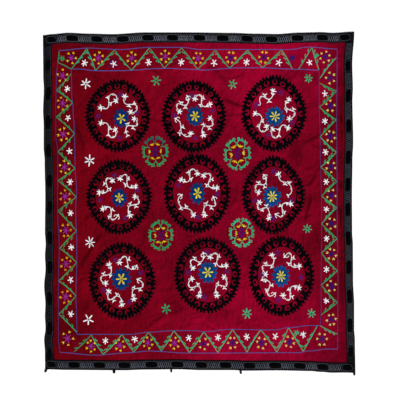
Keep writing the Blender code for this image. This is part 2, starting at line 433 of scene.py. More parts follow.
petalForms = {     # width at each share of the length
    "spike": ((0.0, 0.7), (0.3, 0.9), (0.5, 1.0), (0.75, 0.6), (1.0, 0.08)),
    "club": ((0.0, 0.35), (0.3, 0.6), (0.6, 0.92), (0.82, 1.0), (0.95, 0.72), (1.0, 0.3)),
    "leaf": ((0.0, 0.45), (0.2, 0.85), (0.42, 1.0), (0.65, 0.82), (0.85, 0.48), (1.0, 0.1)),
    "almond": ((0.0, 0.2), (0.15, 0.7), (0.42, 1.0), (0.7, 0.9), (0.9, 0.5), (1.0, 0.15)),
    "blunt": ((0.0, 0.5), (0.08, 0.8), (0.35, 0.95), (0.7, 1.0), (0.93, 0.85), (1.0, 0.45)),
    "thin": ((0.0, 0.6), (0.1, 0.9), (0.4, 1.0), (0.7, 0.9), (0.9, 0.6), (1.0, 0.2)),
}


def sewPetals(skein, centres, angles, start, length, width, form, rise, shade=0.5,
              stretch=1.0, bend=0.0):
    # One petal for each angle: it starts at a distance from the centre and runs outwards.
    share, swell = np.array(petalForms[form]).T
    angles = np.asarray(angles, float)
    start, length, width = (np.broadcast_to(x, angles.shape) for x in (start, length, width))
    reach = start[:, None] + length[:, None] * share
    heading = angles[:, None] + np.broadcast_to(bend, angles.shape)[:, None] * share ** 2
    lines = towards(heading) * reach[..., None] * (1, stretch)
    sewLine(skein, lines + np.reshape(centres, (-1, 1, 2)), width[:, None] * swell, rise, shade)


def sewHook(skein, start, heading, radius, sweep, width, rise, shade=0.5):
    # A curl: an arc that leaves its start along a heading and tapers, turning as swept. It
    # tightens as it goes, and ends in a knot.
    side = np.sign(sweep)
    middle = np.asarray(start) + towards(heading + side * np.pi / 2) * radius
    share = np.linspace(0, 1, stitch["hookPoints"])
    angle = heading - side * np.pi / 2 + sweep * share
    inwards = radius * (1 - stitch["hookTighten"] * share)
    line = middle + towards(angle) * inwards[:, None]
    sewLine(skein, line[None], width * (1 - stitch["hookTaper"] * share), rise, shade)
    sewKnots(skein, line[-1], width * stitch["hookKnot"], rise, shade, sides=8)


def windSkein(name, skein, material):
    # The skein's mesh, with the cloth's own height added under every point.
    points = np.concatenate(skein["points"])
    points[:, 2] += clothTop(points[:, :2])
    layers = {"tone": np.concatenate(skein["tone"]), "shade": np.concatenate(skein["shade"])}
    piece = fillMesh(name, points, skein["faces"], material, layers,
                     np.concatenate(skein["uv"]))
    print(name, "has", len(piece.data.polygons), "faces")
    return piece


# Camera, light and floor

view = {
    "height": 7.0,
    "middle": (0.005, 0.024),
    "across": 2.58,                 # what the picture spans at the cloth, in metres
    "sky": 0.40,
    "key": 4.0,
    "keyHeight": 0.74,              # for each metre towards the light on the flat
    "keySoftness": 0.25,
    "film": 36,
    "farthest": 200,
    "floorHalf": 40,
    "floorDrop": 0.4 * mm,
}


def makeStage():
    # A camera straight above, an even white sky, one soft key light and a plain pale floor.
    scene = bpy.context.scene
    scene.view_settings.view_transform = "Standard"
    camera = addObject("camera", bpy.data.cameras.new("camera"))
    camera.location = (*view["middle"], view["height"])
    camera.data.sensor_width = view["film"]
    camera.data.lens = view["film"] * view["height"] / view["across"]
    camera.data.clip_end = view["farthest"]
    scene.camera = camera
    world = bpy.data.worlds.new("soft white room")
    world.use_nodes = True
    background = world.node_tree.nodes["Background"]
    background.inputs["Color"].default_value = (1, 1, 1, 1)
    background.inputs["Strength"].default_value = view["sky"]
    scene.world = world
    key = addObject("key light", bpy.data.lights.new("key light", "SUN"))
    key.data.energy = view["key"]
    key.data.angle = view["keySoftness"]
    way = Vector((*towardsLight, view["keyHeight"]))
    key.rotation_euler = way.to_track_quat("Z", "Y").to_euler()
    paint = newMaterial("matt white studio floor")
    # Painted board: a faint mottle that only shows close to.
    place = addNode(paint, "TexCoord").outputs["Object"]
    mottle = addNode(paint, "TexNoise", {"Scale": 3.0, "Detail": 2.0}, {"Vector": place})
    tint = colourRamp(paint, mottle.outputs["Fac"], ((0.3, "#FBFBFB"), (0.7, "#FEFEFE")))
    finishMaterial(paint, {"Roughness": 0.95, "Specular IOR Level": 0.1}, {"Base Color": tint})
    half = view["floorHalf"]
    mesh = bpy.data.meshes.new("floor")
    mesh.from_pydata([(-half, -half, 0), (half, -half, 0), (half, half, 0), (-half, half, 0)], [],
                     [(0, 1, 2, 3)])
    mesh.materials.append(paint)
    floor = addObject("floor", mesh)
    floor.location = (0, 0, -view["floorDrop"])
    print("camera, light and floor are set")


# Finishes

def crimsonCottonMaterial():
    # Hand-woven cotton, dyed crimson: matt, with a fine weave, slubs and a faint sheen. The colour
    # is browner at the left and brighter towards the top and bottom right.
    cotton = {
        "thread": 2.4 * mm,         # drawn coarser than the real 0.6 mm, to show at all
        "slubs": 13.0,              # streaks about 15 mm wide and 75 mm long
        "creaseScale": 7.0,
        "creaseDepth": 27 * mm,
        "puckerScale": 34.0,
        "puckerDepth": 7 * mm,
        "weaveDepth": 0.25 * mm,
    }
    m = newMaterial("crimson hand-woven cotton")
    place = addNode(m, "TexCoord").outputs["Object"]
    split = addNode(m, "SeparateXYZ", links={"Vector": place})
    along = addNode(m, "MapRange", {"From Min": -1.0, "From Max": 1.0}, {"Value": split})
    dull = colourRamp(m, along, (
        (0.02, "#56010A"), (0.12, "#66010F"), (0.46, "#6B0118"), (0.66, "#73011C"),
        (0.84, "#6B0118"), (0.94, "#620113"), (1.0, "#520010")))
    bright = colourRamp(m, along, (
        (0.02, "#58010B"), (0.25, "#6B0113"), (0.42, "#730119"), (0.5, "#810121"),
        (0.64, "#870124"), (0.76, "#8B0126"), (0.90, "#74011E"), (1.0, "#5C0014")))
    away = addNode(m, "Math", links={0: split.outputs["Y"]}, operation="ABSOLUTE")
    ends = addNode(m, "MapRange", {"From Min": 0.25, "From Max": 0.95}, {"Value": away},
                   interpolation_type="SMOOTHSTEP")
    dye = addNode(m, "Mix", links={"Factor": ends, 6: dull, 7: bright}, data_type="RGBA")
    blotch = addNode(m, "TexNoise", {"Scale": 4.5, "Detail": 3.0}, {"Vector": place})
    stretched = addNode(m, "Mapping", {"Scale": (5.0, 1.0, 1.0)}, {"Vector": place})
    slubs = addNode(m, "TexNoise", {"Scale": cotton["slubs"], "Detail": 5.0, "Roughness": 0.75},
                    {"Vector": stretched})
    mottle = addNode(m, "Math", links={0: blotch.outputs["Fac"], 1: slubs.outputs["Fac"]},
                     operation="ADD")
    shadeBy = addNode(m, "MapRange", {"From Min": 0.72, "From Max": 1.28, "To Min": 0.62,
                      "To Max": 1.42}, {"Value": mottle})
    # Painted shade: the pleats' steep sides, away from the light, are darkened in the colour.
    paintedPleatShade = addNode(m, "Attribute", attribute_name="paintedPleatShade")
    paler = addNode(m, "Math", {0: 1.0}, {1: paintedPleatShade.outputs["Fac"]}, operation="SUBTRACT")
    level = addNode(m, "Math", links={0: shadeBy, 1: paler}, operation="MULTIPLY")
    baseColour = addNode(m, "VectorMath", links={0: dye.outputs[2], "Scale": level}, operation="SCALE")
    warp, weft = (addNode(m, "TexWave", {"Scale": bandScale(cotton["thread"]), "Distortion": 1.2,
                          "Detail Scale": 2.0}, {"Vector": place}, bands_direction=way)
                  for way in "XY")
    weave = addNode(m, "Math", links={0: warp.outputs["Fac"], 1: weft.outputs["Fac"]},
                    operation="MULTIPLY")
    creases = addNode(m, "TexNoise", {"Scale": cotton["creaseScale"], "Detail": 3.0,
                      "Distortion": 0.8}, {"Vector": place})
    soft = addNode(m, "Bump", {"Strength": 1.0, "Distance": cotton["creaseDepth"]},
                   {"Height": creases.outputs["Fac"]})
    squeezed = addNode(m, "Mapping", {"Scale": (1.5, 0.7, 1.0)}, {"Vector": place})
    puckers = addNode(m, "TexNoise", {"Scale": cotton["puckerScale"], "Detail": 2.0,
                      "Distortion": 0.5}, {"Vector": squeezed})
    middling = addNode(m, "Bump", {"Strength": 1.0, "Distance": cotton["puckerDepth"]},
                       {"Height": puckers.outputs["Fac"], "Normal": soft})
    fine = addNode(m, "Bump", {"Strength": 0.6, "Distance": cotton["weaveDepth"]},
                   {"Height": weave, "Normal": middling})
    return finishMaterial(m, {"Roughness": 0.9, "Specular IOR Level": 0.02, "Sheen Weight": 0.02,
                          "Sheen Roughness": 0.5, "Sheen Tint": linear("#C0304A")},
                          {"Base Color": baseColour, "Normal": fine})


def silkMaterial(name, stops, contrast, lustre):
    # Loosely twisted embroidery silk, couched down in rows: soft lustre, and small stitches
    # across each ribbon. The ramp gives the dye of each motif, from the "shade" attribute.
    silk = {"stitch": 2.2 * mm, "depth": 0.35 * mm, "fibre": 420.0}   # real stitches: about 1 mm
    m = newMaterial(name)
    place = addNode(m, "UVMap", uv_map="stitches").outputs["UV"]
    dye = addNode(m, "Attribute", attribute_name="shade").outputs["Fac"]
    tone = addNode(m, "Attribute", attribute_name="tone").outputs["Fac"]
    colour = colourRamp(m, dye, stops)
    rows = addNode(m, "TexWave", {"Scale": bandScale(silk["stitch"]), "Distortion": 2.0,
                   "Detail Scale": 1.5}, {"Vector": place}, bands_direction="X").outputs["Fac"]
    fibre = addNode(m, "TexNoise", {"Scale": silk["fibre"], "Detail": 3.0}, {"Vector": place})
    mixed = addNode(m, "Math", {1: 0.5}, {0: rows}, operation="MULTIPLY")
    for source in (fibre.outputs["Fac"], tone):
        mixed = addNode(m, "Math", links={0: mixed, 1: source}, operation="ADD")
    level = addNode(m, "MapRange", {"From Min": 0.4, "From Max": 1.9, "To Min": 1 - contrast,
                    "To Max": 1 + contrast * 0.6}, {"Value": mixed})
    baseColour = addNode(m, "VectorMath", links={0: colour, "Scale": level}, operation="SCALE")
    bump = addNode(m, "Bump", {"Strength": 0.6, "Distance": silk["depth"]}, {"Height": rows})
    return finishMaterial(m, {"Roughness": 0.55, "Specular IOR Level": lustre},
                          {"Base Color": baseColour, "Normal": bump})


def blackCottonMaterial(name, code, pale, twill, depth, roughness):
    # Plain black cotton: a steep twill shows as fine slanting ribs, a little dusty on top.
    m = newMaterial(name)
    place = addNode(m, "TexCoord").outputs["Object"]
    slant = addNode(m, "Mapping", {"Rotation": (0.0, 0.0, 0.9)}, {"Vector": place})
    ribs = addNode(m, "TexWave", {"Scale": bandScale(twill), "Distortion": 0.8},
                   {"Vector": slant}, bands_direction="X").outputs["Fac"]
    dust = addNode(m, "TexNoise", {"Scale": 40.0, "Detail": 4.0}, {"Vector": place})
    paler = addNode(m, "Math", links={0: ribs, 1: dust.outputs["Fac"]}, operation="MULTIPLY")
    colour = colourRamp(m, paler, ((0.1, code), (0.8, pale)))
    bump = addNode(m, "Bump", {"Strength": 0.7, "Distance": depth}, {"Height": ribs})
    return finishMaterial(m, {"Roughness": roughness, "Specular IOR Level": 0.015},
                          {"Base Color": colour, "Normal": bump})


# Ground cloth

def gridShares(bandWidth, size, cells):
    # Shares across the cloth: the band's width in finer steps, then even cells.
    steps = cloth["cellsInMargin"]
    cut = (cloth["edgingWidth"] + cloth["gap"]) / size
    inner = bandWidth / size
    margin = np.linspace(cut, inner, steps + 1)[:-1]
    return np.concatenate([margin, np.linspace(inner, 1 - inner, cells + 1), 1 - margin[::-1]])


def makeGround():
    # The crimson cloth inside the edging: the patch's places, lifted by the folds.
    across = gridShares(cloth["bandSideWidth"], clothWidth, cloth["cellsAcross"])
    along = gridShares(cloth["bandEndWidth"], clothLength, cloth["cellsAlong"])
    places = plan(across[:, None], along[None, :])
    # The pleats' painted shade is carried on the cloth's points, for its material to darken the
    # colour.
    ground = closedSheet("suzani_ground", places, underCloth(places), cloth["thickness"],
                         crimsonCottonMaterial(),
                         {"paintedPleatShade": pleated(places)[1]})
    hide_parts("ground_cloth")
    print("ground cloth is laid")
    return ground


# Roundels

roundelRows = (
    # x, y, width, length, lozenge, rings, flower dx, dy, its half width, half length, blue
    # petals, star petals, blue shade, yellow shade, florets (degrees), and sprays: degrees, way
    # round, then the path and what grows at its inner and outer end (flower, tulip, leaf, hook)
    (-524, 567, 419, 464, 0.01, 21, 21, -15, 50, 60, 13, 5, 0.15, 0.62,
     (83, 9, -85, 180), ((130, -1, "Cff"), (45, -1, "Cff"), (-36, 1, "Sfl"), (228, 1, "Cff"))),
    (-34, 562, 413, 464, 0.01, 21, 6, 4, 54, 64, 12, 6, 0.30, 0.60,
     (97, 16, -86, 176), ((135, 1, "Sft"), (59, 1, "Sff"), (-35, 1, "Sff"), (222, 1, "Wft"))),
    (482, 582, 419, 490, 0.02, 20, 6, -18, 60, 62, 14, 7, 0.75, 0.25,
     (69, 157, -24, -107), ((119, 1, "Shf"), (14, -1, "Sff"), (206, 1, "Cff"), (-66, -1, "Cff"))),
    (-517, 43, 419, 484, 0.02, 21, 2, -4, 51, 59, 13, 6, 0.10, 0.66,
     (103, 18, -71, 188), ((143, -1, "Sff"), (57, 1, "Sff"), (-28, 1, "Sff"), (237, 1, "Stf"))),
    (-14, 67, 426, 510, 0.01, 21, 2, 1, 50, 70, 12, 6, 0.30, 0.55,
     (160, -2, -87), ((119, -1, "Sff"), (38, 1, "Sff"), (-42, 1, "Stf"), (222, -1, "Wtf"))),
    (478, 56, 406, 503, 0.035, 21, -8, -10, 58, 67, 13, 8, 0.75, 0.30,
     (89, 193, -14, -90), ((143, 1, "Sft"), (37, -1, "Wlf"), (-50, -1, "Stf"), (230, -1, "Sff"))),
    (-498, -499, 432, 497, 0.02, 22, -5, 14, 63, 72, 13, 6, 0.22, 0.62,
     (110, 22, -69, 202), ((158, 1, "Sff"), (68, 1, "Sft"), (-25, 1, "Stf"), (243, -1, "Sff"))),
    (54, -460, 426, 484, 0.005, 22, 1, 18, 61, 67, 13, 6, 0.72, 0.30,
     (91, 9, 260, 173), ((128, 1, "Sft"), (52, 1, "Sff"), (-36, 1, "Sff"), (220, -1, "Sff"))),
    (531, -466, 419, 516, 0.01, 20, -4, -1, 57, 68, 13, 8, 0.80, 0.28,
     (102, -3, 260, 177), ((145, 1, "Sff"), (51, 1, "Stf"), (-55, -1, "Sff"), (215, 1, "Stt"))),
)
roundel = {        # distances from the middle are shares of the outer radius
    "disc": 0.722,
    "rim": 0.740,
    "rimWidth": 6.4 * mm,
    "ringMiddle": 0.825,
    "ringRadius": 0.067,
    "spokeFrom": 0.752,
    "spokeTo": 0.930,
    "outerLine": 0.930,
    "outerWidth": 12.5 * mm,
    "dotRadius": 10.0 * mm,
    "dotShift": 3.5 * mm,           # outwards, so that the red ring is widest on its inner side
    "openShare": 0.6,               # share of the rings that a black stroke opens
    "openWidth": 11 * mm,
    "leastSpoke": 0.012,            # in radians
    "circlePoints": 97,
    "teeth": 56,
    "toothFrom": 0.885,
    "toothTo": 1.022,
    "toothWidth": 21 * mm,
    # share of the tooth's length, width there
    "toothForm": ((0, 1.0), (0.3, 1.0), (0.55, 0.98), (0.75, 0.86), (0.9, 0.64), (1.0, 0.26)),
    "slant": 0.030,
    "floretAt": 0.83,               # share of the disc's radius
    "floretPetal": (14 * mm, 16.5 * mm),   # in the left half and the right half
    "rise": 1.0 * mm,
}
heart = {          # the flower in the middle: shares of its half width
    "petalFrom": 0.30,
    "petalLength": 0.76,
    "petalFill": 0.80,              # share of the way round that the petals take up
    "innerFrom": 0.10,
    "innerLength": 0.70,
    "innerWiden": 1.5,              # width of the inner petals beside the outer ones
    "disc": 0.5,
    "star": 0.53,
    "starWidth": (15.0 * mm, 12.5 * mm),   # with fewer than seven points, and with seven or more
}
spray = {
    "paths": {     # degrees from the spray's middle, share of the disc's radius
        "S": ((29, 0.70), (24, 0.79), (17, 0.90), (10, 0.89), (6, 0.78), (1, 0.65), (-9, 0.55),
              (-21, 0.61), (-27, 0.71), (-26, 0.83)),
        "C": ((31, 0.59), (35, 0.70), (32, 0.83), (23, 0.91), (14, 0.88), (9, 0.77), (2, 0.65),
              (-7, 0.55), (-19, 0.57), (-25, 0.68), (-25, 0.80)),
        "W": ((37, 0.68), (34, 0.76), (26, 0.85), (12, 0.86), (0, 0.80), (-9, 0.70), (-21, 0.64),
              (-31, 0.68), (-36, 0.78)),
    },
    "stem": 5.7 * mm,
    "stemPoints": 36,
    "petalLength": 24 * mm,
    "petalWidth": 10.0 * mm,
    "petalFan": (-108, -52, 0, 52),   # degrees
    "knot": 6 * mm,
    "hookRadius": 12 * mm,
    "tip": (15 * mm, 12 * mm),      # length and width
    "leaf": (18 * mm, 9.5 * mm),
    "stalk": 15 * mm,
    "stalkWidth": 7.5 * mm,
    "lobeLength": 16.5 * mm,
    "lobeWidth": 8.5 * mm,
    "lobeFan": (-78, 78),           # degrees
    "sprigs": {    # share along the stem, degrees from outwards
        "S": ((0.44, -45), (0.60, 160), (0.80, -15)),
        "C": ((0.54, 20), (0.62, 165)),
        "W": ((0.44, -45), (0.60, 160)),
    },
    "curls": ((-1, 0.68), (1, 0.50), (-1, 0.30)),   # side, share along the stem
    "curlRadius": 7.5 * mm,
    "rise": 1.1 * mm,
}


def onRoundel(row, angle, reach):
    # A place on a roundel: an ellipse, pulled in a little at its diagonals.
    lozenge = row[4]
    pull = 1 - lozenge + lozenge * np.cos(4 * angle)
    return towards(angle) * (reach * pull)[..., None] * (metres(row[2:4]) / 2) + metres(row[:2])


def sewRing(skein, row):
    # The black ring is sewn as spokes: each fills the space between two round openings, from
    # the edge of one to the edge of the next, which is half the chord away from its middle.
    count = row[5]
    pitch = turn / count
    middles = draw.uniform(0, pitch) + pitch * (np.arange(count) + draw.normal(0, 0.03, count))
    radii = roundel["ringRadius"] * draw.uniform(0.84, 1.12, count)
    reaches = roundel["ringMiddle"] + draw.normal(0, 0.005, count)
    bow = np.sin(np.linspace(-turn / 4, turn / 4, 11)) * roundel["ringRadius"] * 1.08
    reach = np.concatenate([[roundel["spokeFrom"]], roundel["ringMiddle"] + bow,
                            [roundel["spokeTo"]]])
    chord = np.sqrt(np.clip(radii[:, None] ** 2 - (reach - reaches[:, None]) ** 2, 0, None))
    low = middles[:, None] + chord / reach
    high = np.roll(middles, -1)[:, None] - np.roll(chord, -1, axis=0) / reach
    high[-1] += turn
    high = np.maximum(high, low + roundel["leastSpoke"])
    spokes = np.broadcast_to(reach, low.shape)
    sewBetween(skein, onRoundel(row, high, spokes), onRoundel(row, low, spokes), roundel["rise"])
    circle = np.linspace(0, turn, roundel["circlePoints"])
    for share, width in (("rim", "rimWidth"), ("outerLine", "outerWidth")):
        line = onRoundel(row, circle, np.full(len(circle), roundel[share]))
        sewLine(skein, line[None], roundel[width], roundel["rise"])
    dots = onRoundel(row, middles, reaches)
    pushed = roundel["dotShift"] * draw.uniform(0.2, 1.6, (count, 1))
    dots = dots + towards(middles + draw.normal(0, 0.7, count)) * pushed
    size = roundel["dotRadius"] * draw.uniform(0.9, 1.3, count)
    sewKnots(skein, dots, size, roundel["rise"])
    opened = np.flatnonzero(draw.uniform(0, 1, count) < roundel["openShare"])
    leaning = middles[opened] + draw.uniform(-0.9, 0.9, len(opened))
    sewPetals(skein, dots[opened], leaning, 0.0,
              metres(row[2]) / 2 * roundel["ringRadius"] * 1.15, roundel["openWidth"], "blunt",
              roundel["rise"], stretch=1.1)


def sewTeeth(skein, row):
    # Pointed leaves round the outside, all slanting the same way.
    count = roundel["teeth"]
    angles = turn * (np.arange(count) + draw.uniform(-0.16, 0.16, count)) / count
    tips = roundel["toothTo"] + draw.uniform(-0.016, 0.012, count)
    share, swell = np.array(roundel["toothForm"]).T
    reach = roundel["toothFrom"] + (tips[:, None] - roundel["toothFrom"]) * share
    lines = onRoundel(row, angles[:, None] + roundel["slant"] * share ** 1.5, reach)
    sewLine(skein, lines, roundel["toothWidth"] * swell, roundel["rise"])


def sewFlower(skein, centre, heading, side):
    # A star round the end of a stem: four pointed petals and, as its fifth, a long curl.
    fan = heading + side * np.radians(spray["petalFan"]) + draw.normal(0, 0.08, 4)
    sewPetals(skein, centre, fan, 0.0, spray["petalLength"] * draw.uniform(0.85, 1.1, 4),
              spray["petalWidth"], "spike", spray["rise"])
    sewKnots(skein, centre, spray["knot"], spray["rise"])
    sewHook(skein, centre, heading + side * 1.5, spray["hookRadius"] * draw.uniform(0.9, 1.15),
            side * draw.uniform(2.2, 3.0), spray["stem"] * 0.9, spray["rise"])


def sewTulip(skein, centre, heading, side):
    # A short tip between two wide wings that curl back towards the stem.
    sewPetals(skein, centre, [heading], 0.0, *spray["tip"], "spike", spray["rise"])
    for wing in (-1, 1):
        sewHook(skein, centre, heading + wing * 0.95, spray["hookRadius"] * draw.uniform(1.0, 1.2),
                wing * draw.uniform(2.0, 2.6), spray["stem"] * 1.2, spray["rise"])


def sewLeafEnd(skein, centre, heading, side):
    # The plainest end of a stem: two leaves that part.
    sewPetals(skein, centre, heading + np.array([-0.7, 0.6]), 0.0, *spray["leaf"], "leaf",
              spray["rise"], bend=np.array([-0.3, 0.3]))


def sewSprig(skein, root, heading):
    # A stalk from the side of a stem, with lobes at its end that turn away from each other.
    stalk = spray["stalk"] * draw.uniform(0.8, 1.1)
    sewPetals(skein, root, [heading], 0.0, stalk + 5 * mm, spray["stalkWidth"], "blunt",
              spray["rise"])
    tip = root + towards(heading) * stalk
    fan = heading + np.radians(spray["lobeFan"]) + draw.normal(0, 0.2, 2)
    sewPetals(skein, tip, fan, 0.0, spray["lobeLength"] * draw.uniform(0.75, 1.2, 2),
              spray["lobeWidth"], "leaf", spray["rise"], bend=np.array([0.4, -0.4]))


def sewHookEnd(skein, centre, heading, side):
    # A stem that simply curls at its end.
    sewHook(skein, centre, heading, spray["hookRadius"] * 0.8, side * 2.4, spray["stem"],
            spray["rise"])


sprayEnds = {"f": sewFlower, "t": sewTulip, "l": sewLeafEnd, "h": sewHookEnd}


def sewSpray(skein, row, middle, way, kind):
    # One scroll: from its first end out to the rim, in towards the middle and out again.
    bent, shares = np.array(spray["paths"][kind[0]]).T
    bent = bent * draw.uniform(0.95, 1.05) + draw.normal(0, 0.7, len(bent))
    shares = shares + draw.normal(0, 0.010, len(shares))
    line = onRoundel(row, np.radians(middle + way * bent), shares * roundel["disc"])
    count = spray["stemPoints"]
    line = spaced(rounded(line), count)
    swell = 1 + 0.12 * np.sin(np.linspace(0, turn, count) + draw.uniform(0, turn))
    sewLine(skein, line[None], spray["stem"] * swell, spray["rise"])
    sprayEnds[kind[1]](skein, line[0], bearing(line[0] - line[2]), -way)
    sprayEnds[kind[2]](skein, line[-1], bearing(line[-1] - line[-3]), way)
    for share, degrees in spray["sprigs"][kind[0]]:
        root = line[int(share * (count - 1))]
        lean = np.radians(degrees) + draw.normal(0, 0.15)
        sewSprig(skein, root, bearing(root - metres(row[:2])) + way * lean)
    for side, share in spray["curls"]:
        at = int((share + draw.normal(0, 0.02)) * (count - 1))
        heading = bearing(line[at + 1] - line[at]) + side * way * 0.9
        sewHook(skein, line[at], heading, spray["curlRadius"] * draw.uniform(0.8, 1.2),
                side * way * draw.uniform(1.8, 2.6), spray["stem"] * 0.85, spray["rise"])


def sewFloret(skein, centre, size, shade):
    # A small violet flower of six petals.
    angles = around(6, draw.uniform(0, 1))
    sewPetals(skein, centre, angles, 2.5 * mm, size * draw.uniform(0.85, 1.1, 6), 8.4 * mm,
              "club", 1.0 * mm, shade, stretch=1.1)
    sewKnots(skein, centre, 4.5 * mm, 1.1 * mm, shade)


def sewCentre(skeins, row):
    # The blue rosette in the middle, with a yellow star on it and a dark knot in the middle.
    petals, points, blue, yellow = row[10:14]
    halfWidth, halfLength = metres(row[8:10])
    centre = metres(row[:2]) + metres(row[6:8])
    stretch = halfLength / halfWidth
    angles = around(petals, draw.uniform(0, 1)) + draw.normal(0, 0.04, petals)
    wide = turn * halfWidth * heart["petalFill"] / petals
    sizes = heart["petalLength"] * halfWidth * draw.uniform(0.93, 1.05, petals)
    sewPetals(skeins["blue"], centre, angles, heart["petalFrom"] * halfWidth, sizes, wide, "club",
              1.0 * mm, blue, stretch)
    inner = angles + turn / petals / 2
    sewPetals(skeins["blue"], centre, inner, heart["innerFrom"] * halfWidth,
              heart["innerLength"] * halfWidth, wide * heart["innerWiden"], "club", 0.9 * mm,
              blue * 0.5, stretch)
    sewKnots(skeins["blue"], centre, heart["disc"] * halfWidth, 0.9 * mm, blue * 0.5)
    angles = around(points, draw.uniform(0, 1))
    sizes = heart["star"] * halfWidth * draw.uniform(0.92, 1.06, points)
    sewPetals(skeins["yellow"], centre, angles, 1.8 * mm, sizes,
              heart["starWidth"][int(points >= 7)], "club", 2.0 * mm, yellow, stretch)
    sewKnots(skeins["black"], centre, 2.2 * mm, 2.2 * mm)


def sewRoundels(skeins):
    # In each roundel a toothed black ring, a flower in the middle, florets and white scrolls.
    for row in roundelRows:
        sewRing(skeins["black"], row)
        sewTeeth(skeins["black"], row)
        sewCentre(skeins, row)
        florets, sprays = row[14:]
        for degrees in florets:
            reach = np.array(roundel["floretAt"] * roundel["disc"])
            spot = onRoundel(row, np.radians(degrees), reach)
            sewFloret(skeins["violet"], spot, roundel["floretPetal"][int(row[0] >= 0)], 0.55)
        for middle, way, kind in sprays:
            sewSpray(skeins["white"], row, middle, way, kind)
    print("nine roundels are sewn")


# Green rosettes, and the stars between the roundels

rosetteRows = (    # in mm x, y, half width, half length; turn in degrees, green shade, size of the
    # tulips, which lobes are teal
    (-284, 338, 86, 103, 3, 0.36, 1.0, (1, 2)), (246, 322, 89, 109, 5, 0.76, 1.25, ()),
    (-248, -203, 81, 102, 2, 0.38, 1.05, ()), (273, -187, 81, 97, 4, 0.82, 1.08, ()),
)
rosette = {
    "lobes": 6,
    "barReach": 0.86,               # share of the half size at the middle of a lobe
    "barSpread": 18.5,              # degrees each way
    "barWidth": 12.5 * mm,
    "barPoints": 15,
    "teeth": 3,
    "toothReach": 0.89,
    "toothRadius": 6.4 * mm,
    "toothWidth": 7.6 * mm,
    "curlRadius": 7.8 * mm,
    "curlWidth": 7.2 * mm,
    "branch": ((17, 0.82), (23, 0.72), (28, 0.64), (30, 0.57), (31, 0.47)),   # degrees, share
    "branchWidth": 5.6 * mm,
    "branchPoints": 16,
    "tulipReach": (0.45, 0.515),    # from the middle, shares of the half size
    "tulipPetals": (19, 15, 19),    # mm
    "tulipWidth": 7.6 * mm,
    "tulipFan": 48,                 # degrees each way
    "armLength": 31 * mm,
    "armWidth": 10.8 * mm,
    "rise": 1.0 * mm,
}
fieldStars = (     # x, y, petals, length, width, thread, shade
    (-732, 775, 6, 29, 9.6, "white", 0.5), (-707, 279, 6, 31, 9.6, "white", 0.5),
    (-704, -248, 7, 29, 8.6, "white", 0.5), (-715, -746, 5, 30, 9.8, "white", 0.5),
    (-278, 795, 6, 28, 10.5, "green", 0.45), (214, 771, 6, 25, 9.5, "green", 0.70),
    (704, 809, 7, 24, 8.4, "green", 0.70), (696, -161, 7, 25, 8.4, "green", 0.70),
    (-214, -677, 6, 27, 10.5, "green", 0.50), (308, -706, 7, 29, 10.0, "green", 0.80),
    (724, -707, 7, 24, 8.6, "green", 0.90),
)


def onRosette(centre, halfSize, angle, share):
    # A place at a share of the rosette's half width and half length.
    return centre + towards(np.asarray(angle)) * np.asarray(share)[..., None] * halfSize


def sewLobe(skein, centre, halfSize, lobe, shade):
    # A toothed bar across the oval. It folds over in a curl at both ends, and from both ends a
    # thin branch runs in to meet its neighbour's.
    rise = rosette["rise"]
    spread = np.radians(rosette["barSpread"])
    share = np.linspace(-1, 1, rosette["barPoints"])
    bar = onRosette(centre, halfSize, lobe + share * spread,
                    rosette["barReach"] - 0.02 * share ** 2)
    sewLine(skein, bar[None], rosette["barWidth"] * (1 - 0.3 * share ** 2), rise, shade)
    angles = lobe + spread * (np.linspace(-0.85, 0.85, rosette["teeth"]) + draw.normal(0, 0.08))
    roots = onRosette(centre, halfSize, angles, np.full(len(angles), rosette["toothReach"]))
    lean = draw.choice([-1, 1])
    for angle, root in zip(angles, roots):
        sewHook(skein, root, angle - lean * 0.5, rosette["toothRadius"] * draw.uniform(0.85, 1.2),
                lean * draw.uniform(2.2, 3.0), rosette["toothWidth"], rise,
                np.clip(shade + draw.normal(0, 0.1), 0, 1))
    for side, end in ((-1, bar[0]), (1, bar[-1])):
        ahead = lobe + side * (spread + np.pi / 2)
        sewHook(skein, end, ahead + side * 0.25, rosette["curlRadius"] * draw.uniform(0.85, 1.15),
                -side * draw.uniform(2.6, 3.3), rosette["curlWidth"], rise, shade)
        out, shares = np.array(rosette["branch"]).T
        spots = onRosette(centre, halfSize, lobe + side * np.radians(out), shares)
        line = spaced(rounded(spots), rosette["branchPoints"])
        width = rosette["branchWidth"] * np.linspace(1.25, 0.75, len(line))
        sewLine(skein, line[None], width, rise, shade)


def sewRosette(skeins, x, y, halfWidth, halfLength, degrees, green, tulipSize, teal):
    # Six lobes on an oval, with a yellow tulip inside each, round a violet star.
    centre = metres([x, y])
    halfSize = np.array([halfWidth, halfLength]) * mm
    for number, lobe in enumerate(around(rosette["lobes"], np.radians(degrees))):
        shade = 0.0 if number in teal else np.clip(green + draw.normal(0, 0.08), 0.1, 1)
        sewLobe(skeins["green"], centre, halfSize, lobe, shade)
        tulip = centre + towards(lobe) * rosette["tulipReach"] * halfSize
        heading = bearing(tulip - centre)
        fan = heading + np.radians(rosette["tulipFan"]) * np.arange(-1, 2) + draw.normal(0, 0.12, 3)
        sizes = np.array(rosette["tulipPetals"]) * mm * tulipSize * draw.uniform(0.9, 1.1, 3)
        sewPetals(skeins["yellow"], tulip - towards(heading) * 9 * mm, fan, 0.0, sizes,
                  rosette["tulipWidth"] * tulipSize, "almond", 1.1 * mm,
                  0.62 + draw.normal(0, 0.08))
        sewPetals(skeins["violet"], centre, [heading], 3 * mm,
                  rosette["armLength"] * draw.uniform(0.9, 1.12), rosette["armWidth"], "club",
                  1.0 * mm, 0.9, stretch=1.08)
    sewKnots(skeins["violet"], centre, 6 * mm, 1.2 * mm, 1.0)


